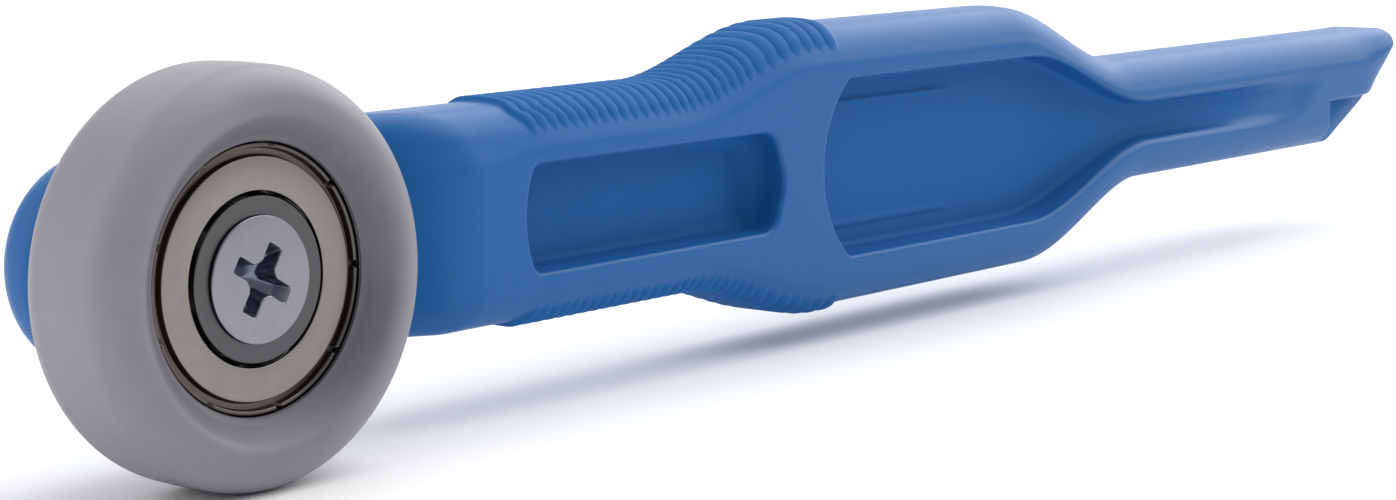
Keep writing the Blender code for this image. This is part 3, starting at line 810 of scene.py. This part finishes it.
# Each piece, the body it rides on, the CAD node it replaces and its material slot.
placing = [(wheel, "roller", "roller_wheel", "wheel_plastic"),
           (outer_ring, "roller", "bearing_outer_ring", "bearing_steel"),
           (inner_ring, "handle", "bearing_inner_ring", "bearing_steel"),
           (shield_front, "roller", "bearing_shield_front", "shield_steel"),
           (shield_rear, "roller", "bearing_shield_rear", "shield_steel"),
           (cage_front, "cage", "bearing_cage_front", "cage_steel"),
           (cage_rear, "cage", "bearing_cage_rear", "cage_steel"),
           (sleeve, "handle", "axle_sleeve", "sleeve_steel"),
           (screw, "handle", "axle_screw", "screw_zinc"),
           (insert, "handle", "threaded_insert", "insert_brass")]
placing += [(ball, "ball_%d" % i, "ball_%d" % i, "ball_steel") for i, ball in enumerate(balls, 1)]
placing += [(rivet, "cage", "cage_rivet_%d" % i, "cage_steel") for i, rivet in enumerate(rivets, 1)]
for piece, body, node, slot in placing:
    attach(piece, body)
    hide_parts(node)


# ---------------------------------------------------------------- materials
LATHE_TURN = 0.0006
STEEL_MOTTLE = 0.06
MOULDED_BLUE = ((0.004, 0.106, 0.335), (0.005, 0.114, 0.355))
WORN_BLUE = (0.02, 0.16, 0.43)
TEXTURE_ROUGHER = 0.34
WHEEL_GREY = ((0.241, 0.232, 0.263), (0.255, 0.246, 0.278))
# Painted shade on the wheel's face: its colour darkens towards the bearing's ring, over the dish,
# between the two radii (metres).
BEARING_SHADE_GREY = (0.075, 0.07, 0.078)
BEARING_SHADE_FROM_TO = (0.0184, 0.0128)
BEARING_SHADE_AMOUNT = 0.72


class Finish:
    """A material being put together round one Principled shader."""

    def __init__(self, name, **sockets):
        self.material = bpy.data.materials.new(name)
        self.material.use_nodes = True
        self.tree = self.material.node_tree
        self.shader = self.tree.nodes["Principled BSDF"]
        for key, value in sockets.items():
            socket = self.shader.inputs[key.replace("_", " ")]
            socket.default_value = (*value, 1.0) if socket.type == "RGBA" else value
        self.coords = self.tree.nodes.new("ShaderNodeTexCoord").outputs["Object"]

    def node(self, kind, inputs=None, **settings):
        made = self.tree.nodes.new("ShaderNode" + kind)
        for key, value in settings.items():
            setattr(made, key, value)
        for key, value in (inputs or {}).items():
            socket = made.inputs[key]
            if isinstance(value, bpy.types.NodeSocket):
                self.tree.links.new(value, socket)
            else:
                socket.default_value = value
        return made

    def noise(self, scale, detail=3.0, rough=0.5, vector=None):
        made = self.node("TexNoise", {"Scale": scale, "Detail": detail, "Roughness": rough,
                                      "Vector": vector or self.coords})
        return made.outputs["Fac"]

    def span(self, value, low, high, to_low=0.0, to_high=1.0):
        made = self.node("MapRange", {"Value": value, "From Min": low, "From Max": high,
                                      "To Min": to_low, "To Max": to_high}, clamp=True)
        return made.outputs["Result"]

    def math(self, operation, a, b=0.0):
        return self.node("Math", {0: a, 1: b}, operation=operation).outputs[0]

    def mix(self, amount, a, b):
        made = self.node("Mix", data_type="RGBA")
        sockets = {s.identifier: s for s in made.inputs}
        for key, value in (("Factor_Float", amount), ("A_Color", a), ("B_Color", b)):
            if isinstance(value, bpy.types.NodeSocket):
                self.tree.links.new(value, sockets[key])
            else:
                sockets[key].default_value = (*value, 1.0) if isinstance(value, tuple) else value
        return {s.identifier: s for s in made.outputs}["Result_Color"]

    def cylinder(self):
        """Distance from the axle, distance along it, and the turn round it."""
        x, y, z = self.node("SeparateXYZ", {0: self.coords}).outputs
        squares = self.math("ADD", self.math("MULTIPLY", x, x), self.math("MULTIPLY", z, z))
        radius = self.math("SQRT", squares)
        return radius, y, self.math("ARCTAN2", z, x)

    def turned(self):
        """Coordinates that run along the radius and the axle, so marks follow the lathe."""
        radius, along, turn = self.cylinder()
        slow_turn = self.math("MULTIPLY", turn, LATHE_TURN)
        return self.node("CombineXYZ", {0: radius, 1: along, 2: slow_turn}).outputs[0]

    def edges(self, low, high):
        """Near 1 on outside edges, 0 on flats."""
        return self.span(self.node("NewGeometry").outputs["Pointiness"], low, high)

    def bump(self, height, strength, distance, under=None):
        inputs = {"Height": height, "Strength": strength, "Distance": distance}
        if under is not None:
            inputs["Normal"] = under
        return self.node("Bump", inputs).outputs[0]

    def set(self, socket, value):
        self.tree.links.new(value, self.shader.inputs[socket])


def handle_plastic():
    f = Finish("blue_moulding", Base_Color=(0.0045, 0.113, 0.352), Roughness=0.4, IOR=1.35)
    broad = f.noise(45.0, 3.0)
    fine = f.noise(900.0, 4.0, 0.6)
    base = f.mix(f.span(broad, 0.3, 0.7), *MOULDED_BLUE)
    base = f.mix(f.math("MULTIPLY", f.edges(0.53, 0.62), 0.3), base, WORN_BLUE)
    f.set("Base Color", base)
    rough = f.math("ADD", f.span(fine, 0.3, 0.7, 0.36, 0.43), f.span(broad, 0.3, 0.7, -0.02, 0.02))
    textured = f.node("Attribute", attribute_name="mould_texture").outputs["Fac"]
    f.set("Roughness", f.math("ADD", rough, f.math("MULTIPLY", textured, TEXTURE_ROUGHER)))
    grain = f.bump(f.noise(6500.0, 2.0, 0.6), 0.18, 0.00002)
    f.set("Normal", f.bump(f.noise(420.0, 2.0, 0.5), 0.12, 0.00006, grain))
    return f.material


def wheel_plastic():
    f = Finish("grey_wheel", Base_Color=(0.262, 0.25, 0.278), Roughness=0.46, IOR=1.5)
    broad = f.noise(90.0, 3.0)
    turned = f.turned()
    lines = f.noise(5200.0, 2.0, 0.5, turned)
    base = f.mix(f.span(broad, 0.3, 0.7), *WHEEL_GREY)
    # Painted shade: the face is coloured darker towards the bearing's ring, and noise makes the edge
    # of the dark band ragged.
    radius = f.cylinder()[0]
    ragged = f.math("ADD", radius, f.span(f.noise(260.0, 3.0), 0.3, 0.7, -0.0003, 0.0003))
    painted_bearing_shade = f.math("POWER", f.span(ragged, *BEARING_SHADE_FROM_TO), 1.25)
    f.set("Base Color", f.mix(f.math("MULTIPLY", painted_bearing_shade, BEARING_SHADE_AMOUNT), base, BEARING_SHADE_GREY))
    f.set("Roughness", f.span(lines, 0.25, 0.75, 0.42, 0.5))
    grain = f.bump(f.noise(5200.0, 2.0, 0.6), 0.08, 0.00002)
    f.set("Normal", f.bump(lines, 0.05, 0.00002, grain))
    return f.material


def steel(name, colour, rough, lines_strength=0.12, scale=9000.0, painted_shade=None):
    """Turned or pressed metal, with painted shade where asked.

    A painted shade is (colour, amount, (axis, start, full), ...). Axis 0 is the distance from the
    axle and axis 1 the distance along it, both in metres.
    """
    f = Finish(name, Base_Color=colour, Roughness=rough, Metallic=1.0)
    lines = f.noise(scale, 3.0, 0.6, f.turned())
    mottle = f.noise(500.0, 4.0, 0.6)
    dark = tuple(c * (1.0 - STEEL_MOTTLE) for c in colour)
    light = tuple(min(1.0, c * (1.0 + STEEL_MOTTLE)) for c in colour)
    base = f.mix(f.span(mottle, 0.3, 0.7), dark, light)
    # Painted shade: the base colour is mixed towards the given tone wherever every ramp allows.
    if painted_shade is not None:
        tone, there, *limits = painted_shade
        for axis, start, full in limits:
            there = f.math("MULTIPLY", there, f.span(f.cylinder()[axis], start, full))
        base = f.mix(there, base, tone)
    f.set("Base Color", base)
    f.set("Roughness", f.math("ADD", f.span(lines, 0.25, 0.75, rough - 0.06, rough + 0.08),
                              f.span(mottle, 0.3, 0.7, -0.03, 0.03)))
    f.set("Normal", f.bump(lines, lines_strength, 0.00002))
    return f.material


handle.data.materials.append(handle_plastic())
wheel.data.materials.append(wheel_plastic())
ring_steel = steel("ground_ring_steel", (0.105, 0.101, 0.108), 0.36)
# Painted shade: the shield's sunk channel and rolled rim are coloured a near-black brown.
web_steel = steel("pressed_shield_steel", (0.25, 0.236, 0.22), 0.34, 0.06,
                  painted_shade=((0.05, 0.042, 0.036), 0.7, (0, 0.01102, 0.01112)))
strip_steel = steel("strip_steel", (0.5, 0.48, 0.45), 0.38)
ball_steel = steel("polished_ball_steel", (0.62, 0.62, 0.63), 0.1, 0.0)
# Painted shade: the inside of the screw's cross recess is coloured darker and bluer.
zinc = steel("blue_zinc", (0.265, 0.268, 0.305), 0.32, 0.04,
             painted_shade=((0.15, 0.18, 0.25), 0.75, (1, -0.00042, 0.0), (0, 0.0042, 0.0038)))
turned_steel = steel("turned_steel", (0.5, 0.5, 0.5), 0.32, 0.2, 5000.0)
brass = steel("turned_brass", (0.72, 0.5, 0.2), 0.28, 0.2, 5000.0)
finishes = [((outer_ring, inner_ring), ring_steel), ((shield_front, shield_rear), web_steel),
            ((cage_front, cage_rear, *rivets), strip_steel), (balls, ball_steel), ((screw,), zinc),
            ((sleeve,), turned_steel), ((insert,), brass)]
for pieces, finish in finishes:
    for piece in pieces:
        piece.data.materials.append(finish)

# ---------------------------------------------------------------- stage, light and camera
FLOOR_HALF = 6.0
floor_mesh = bpy.data.meshes.new("floor")
floor_signs = ((-1, -1), (1, -1), (1, 1), (-1, 1))
floor_corners = [(x * FLOOR_HALF, y * FLOOR_HALF, 0.0) for x, y in floor_signs]
floor_mesh.from_pydata(floor_corners, [], [(0, 1, 2, 3)])
floor = bpy.data.objects.new("floor", floor_mesh)
bpy.context.scene.collection.objects.link(floor)
pale = Finish("pale_floor", Base_Color=(0.95, 0.95, 0.95), Roughness=0.9)
floor.data.materials.append(pale.material)

# The world's light: an even part and how much it grows towards the backdrop, the light from
# above, and the backdrop's own glow with its direction and how fast it falls off with height.
AMBIENT = (0.22, 0.05)
OVERHEAD = 0.55
OVERHEAD_POWER = 1.2
BACKDROP_GLOW = 1.1
BACKDROP_TOWARD = (0.4, 0.92)
BACKDROP_FALL = -3.5


def build_studio():
    """Even white light from all round, stronger from a lit backdrop low behind the tool."""
    world = bpy.data.worlds.new("studio")
    world.use_nodes = True
    tree = world.node_tree

    def math_node(operation, a, b=0.0):
        made = tree.nodes.new("ShaderNodeMath")
        made.operation = operation
        for socket, value in ((made.inputs[0], a), (made.inputs[1], b)):
            if isinstance(value, bpy.types.NodeSocket):
                tree.links.new(value, socket)
            else:
                socket.default_value = value
        return made.outputs[0]

    split = tree.nodes.new("ShaderNodeSeparateXYZ")
    tree.links.new(tree.nodes.new("ShaderNodeTexCoord").outputs["Generated"], split.inputs[0])
    x, y, z = split.outputs
    behind = math_node("ADD", math_node("MULTIPLY", x, BACKDROP_TOWARD[0]),
                       math_node("MULTIPLY", y, BACKDROP_TOWARD[1]))
    ambient = math_node("ADD", math_node("MULTIPLY", behind, AMBIENT[1]), AMBIENT[0])
    behind = math_node("MAXIMUM", behind, 0.0)
    low = math_node("EXPONENT", math_node("MULTIPLY", math_node("ABSOLUTE", z), BACKDROP_FALL))
    glow = math_node("MULTIPLY", math_node("MULTIPLY", behind, low), BACKDROP_GLOW)
    above = math_node("POWER", math_node("MAXIMUM", z, 0.0), OVERHEAD_POWER)
    above = math_node("MULTIPLY", above, OVERHEAD)
    glow = math_node("ADD", glow, above)
    background = tree.nodes["Background"]
    background.inputs["Color"].default_value = (1.0, 1.0, 1.0, 1.0)
    tree.links.new(math_node("ADD", glow, ambient), background.inputs["Strength"])
    return world


bpy.context.scene.world = build_studio()
bpy.context.scene.view_settings.view_transform = "Standard"


def soft_sun(name, toward, strength, spread):
    """A wide distant light; toward points from the tool to the light, spread is in degrees."""
    lamp = bpy.data.lights.new(name, "SUN")
    lamp.energy = strength
    lamp.angle = math.radians(spread)
    obj = bpy.data.objects.new(name, lamp)
    obj.rotation_euler = Vector(toward).to_track_quat("Z", "Y").to_euler()
    bpy.context.scene.collection.objects.link(obj)


soft_sun("softbox", (0.71, -0.2, 0.68), 2.4, 72.0)
soft_sun("top_light", (0.58, 0.5, 0.64), 0.7, 80.0)
soft_sun("side_light", (-0.85, 0.4, 0.4), 1.05, 70.0)

CAMERA_AZIMUTH = -50.521
CAMERA_ELEVATION = 8.125
CAMERA_ROLL = -0.54
CAMERA_AT = (-172.33, -192.82, 38.8)
LENS = 74.573


def build_camera():
    """The photograph's camera: degrees, millimetres from the bearing's centre, 36 mm sensor."""
    az, el, roll = (math.radians(v) for v in (CAMERA_AZIMUTH, CAMERA_ELEVATION, CAMERA_ROLL))
    back = Vector((math.sin(az) * math.cos(el), -math.cos(az) * math.cos(el), math.sin(el)))
    right = Vector((math.cos(az), math.sin(az), 0.0))
    up = back.cross(right)
    turned_right = math.cos(roll) * right + math.sin(roll) * up
    turned_up = math.cos(roll) * up - math.sin(roll) * right
    lens = bpy.data.cameras.new("camera")
    lens.lens = LENS
    lens.sensor_width = 36.0
    lens.clip_start = 0.01
    obj = bpy.data.objects.new("camera", lens)
    basis = Matrix((turned_right, turned_up, back)).transposed().to_4x4()
    obj.matrix_world = Matrix.Translation(AXLE + Vector(CAMERA_AT) * MM) @ basis
    bpy.context.scene.collection.objects.link(obj)
    bpy.context.scene.camera = obj


build_camera()
